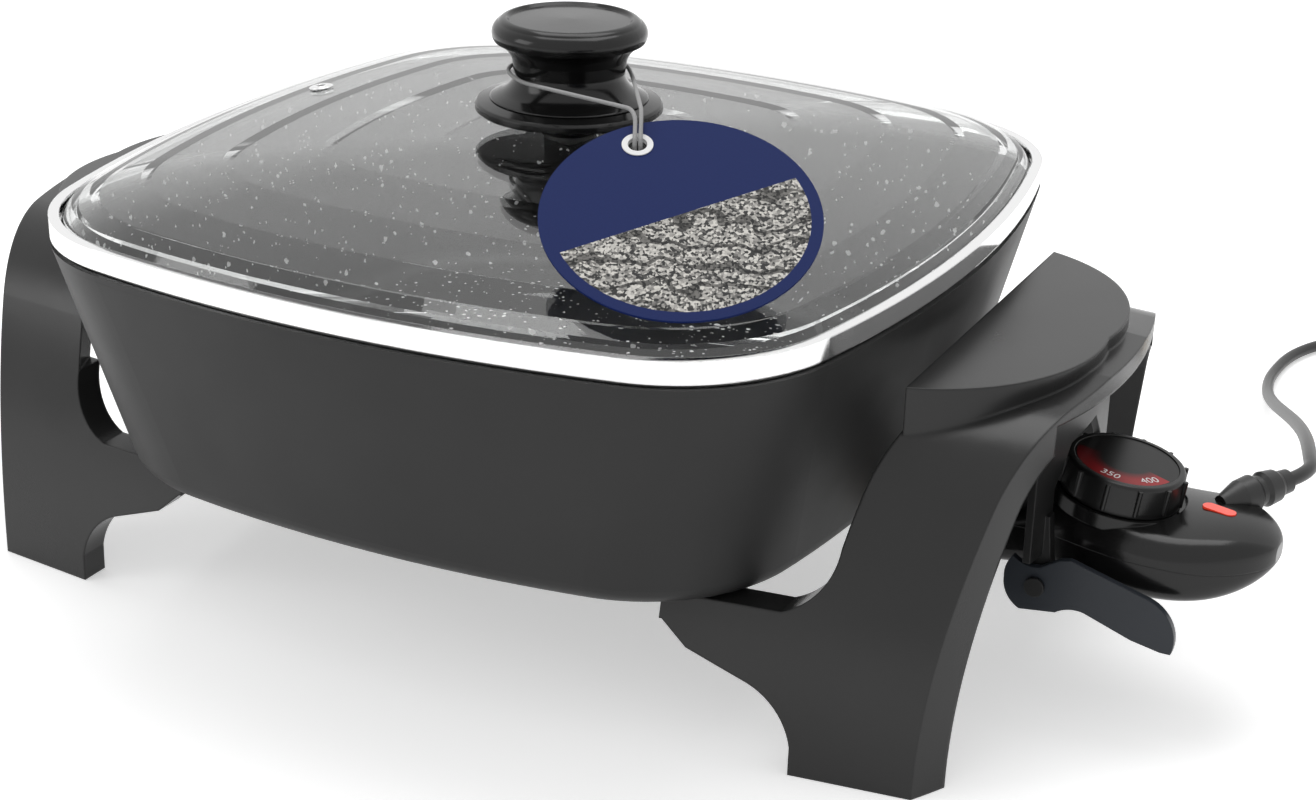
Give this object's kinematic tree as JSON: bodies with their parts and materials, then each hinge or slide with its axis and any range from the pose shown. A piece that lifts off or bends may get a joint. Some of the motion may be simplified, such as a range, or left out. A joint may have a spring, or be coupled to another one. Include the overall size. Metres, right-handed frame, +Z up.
{
  "type": "electric skillet",
  "caption": "Square non-stick electric skillet on moulded handle-legs, with a domed glass lid and a plug-in heat control with dial, lever and coiled lead.",
  "frame": {"origin": "on the table under the middle of the whole object, free lead left out", "axes": "+Z up, +X from the far handle towards the heat control, +Y to the back"},
  "size_m": [0.5441, 0.5387, 0.207],
  "materials": {
    "pan_coating": "satin non-stick",
    "handle_plastic": "satin",
    "control_plastic": "gloss",
    "knob_plastic": "gloss",
    "lever_plastic": "satin",
    "clear_glass": "polished",
    "polished_steel": "polished",
    "plain_steel": "brushed",
    "contact_brass": "bright",
    "ceramic": "matt",
    "lens_red": "gloss",
    "dial_face": "printed, semi-gloss",
    "card": "printed card",
    "eyelet_white": "satin",
    "string": "twisted",
    "lead_rubber": "satin"
  },
  "bodies": {
    "base": {"pan": "pan_coating", "heating_element": "plain_steel", "terminal_pins": "plain_steel", "terminal_insulators": "ceramic", "right_handle": "handle_plastic", "left_handle": "handle_plastic", "handle_screws": "plain_steel", "socket_guard": "handle_plastic", "lever_pivot_pin": "plain_steel"},
    "lid": {"lid_glass": "clear_glass", "lid_rim": "polished_steel", "lid_knob": "knob_plastic", "knob_flange": "knob_plastic", "knob_spacer": "knob_plastic", "knob_washer": "plain_steel", "knob_screw": "plain_steel", "vent_eyelet": "polished_steel", "hang_tag": "card", "tag_eyelet": "eyelet_white", "tag_string": "string"},
    "control": {"control_top": "control_plastic", "control_base": "control_plastic", "indicator_lens": "lens_red", "indicator_lamp": "lens_red", "strain_relief": "lead_rubber", "thermostat_probe": "plain_steel", "terminal_sockets": "contact_brass", "thermostat_frame": "plain_steel", "contact_strip": "contact_brass", "power_cord": "lead_rubber", "cord_coil": "lead_rubber", "plug_body": "lead_rubber", "plug_blades": "contact_brass", "cord_tie": "lead_rubber"},
    "dial": {"dial_knob": "control_plastic", "dial_plate": "dial_face", "dial_shaft": "plain_steel"},
    "lever": {"release_lever": "lever_plastic"}
  },
  "joints": [
    {"name": "lid_lift", "type": "slide", "parent": "base", "child": "lid", "axis": [0, 0, 1], "range_m": [0, 0.25]},
    {"name": "control_pull", "type": "slide", "parent": "base", "child": "control", "axis": [1, 0, 0], "range_m": [0, 0.16]},
    {"name": "dial_turn", "type": "hinge", "parent": "control", "child": "dial", "pos_m": [0.18405, 0, 0.0731], "axis": [0.1392, 0, 0.9903], "range_deg": [0, 270]},
    {"name": "lever_press", "type": "hinge", "parent": "base", "child": "lever", "pos_m": [0.16775, -0.034, 0.0475], "axis": [0, 1, 0], "range_deg": [0, 18], "stiffness_Nm_per_rad": 0.02, "springref_deg": -17.19}
  ]
}
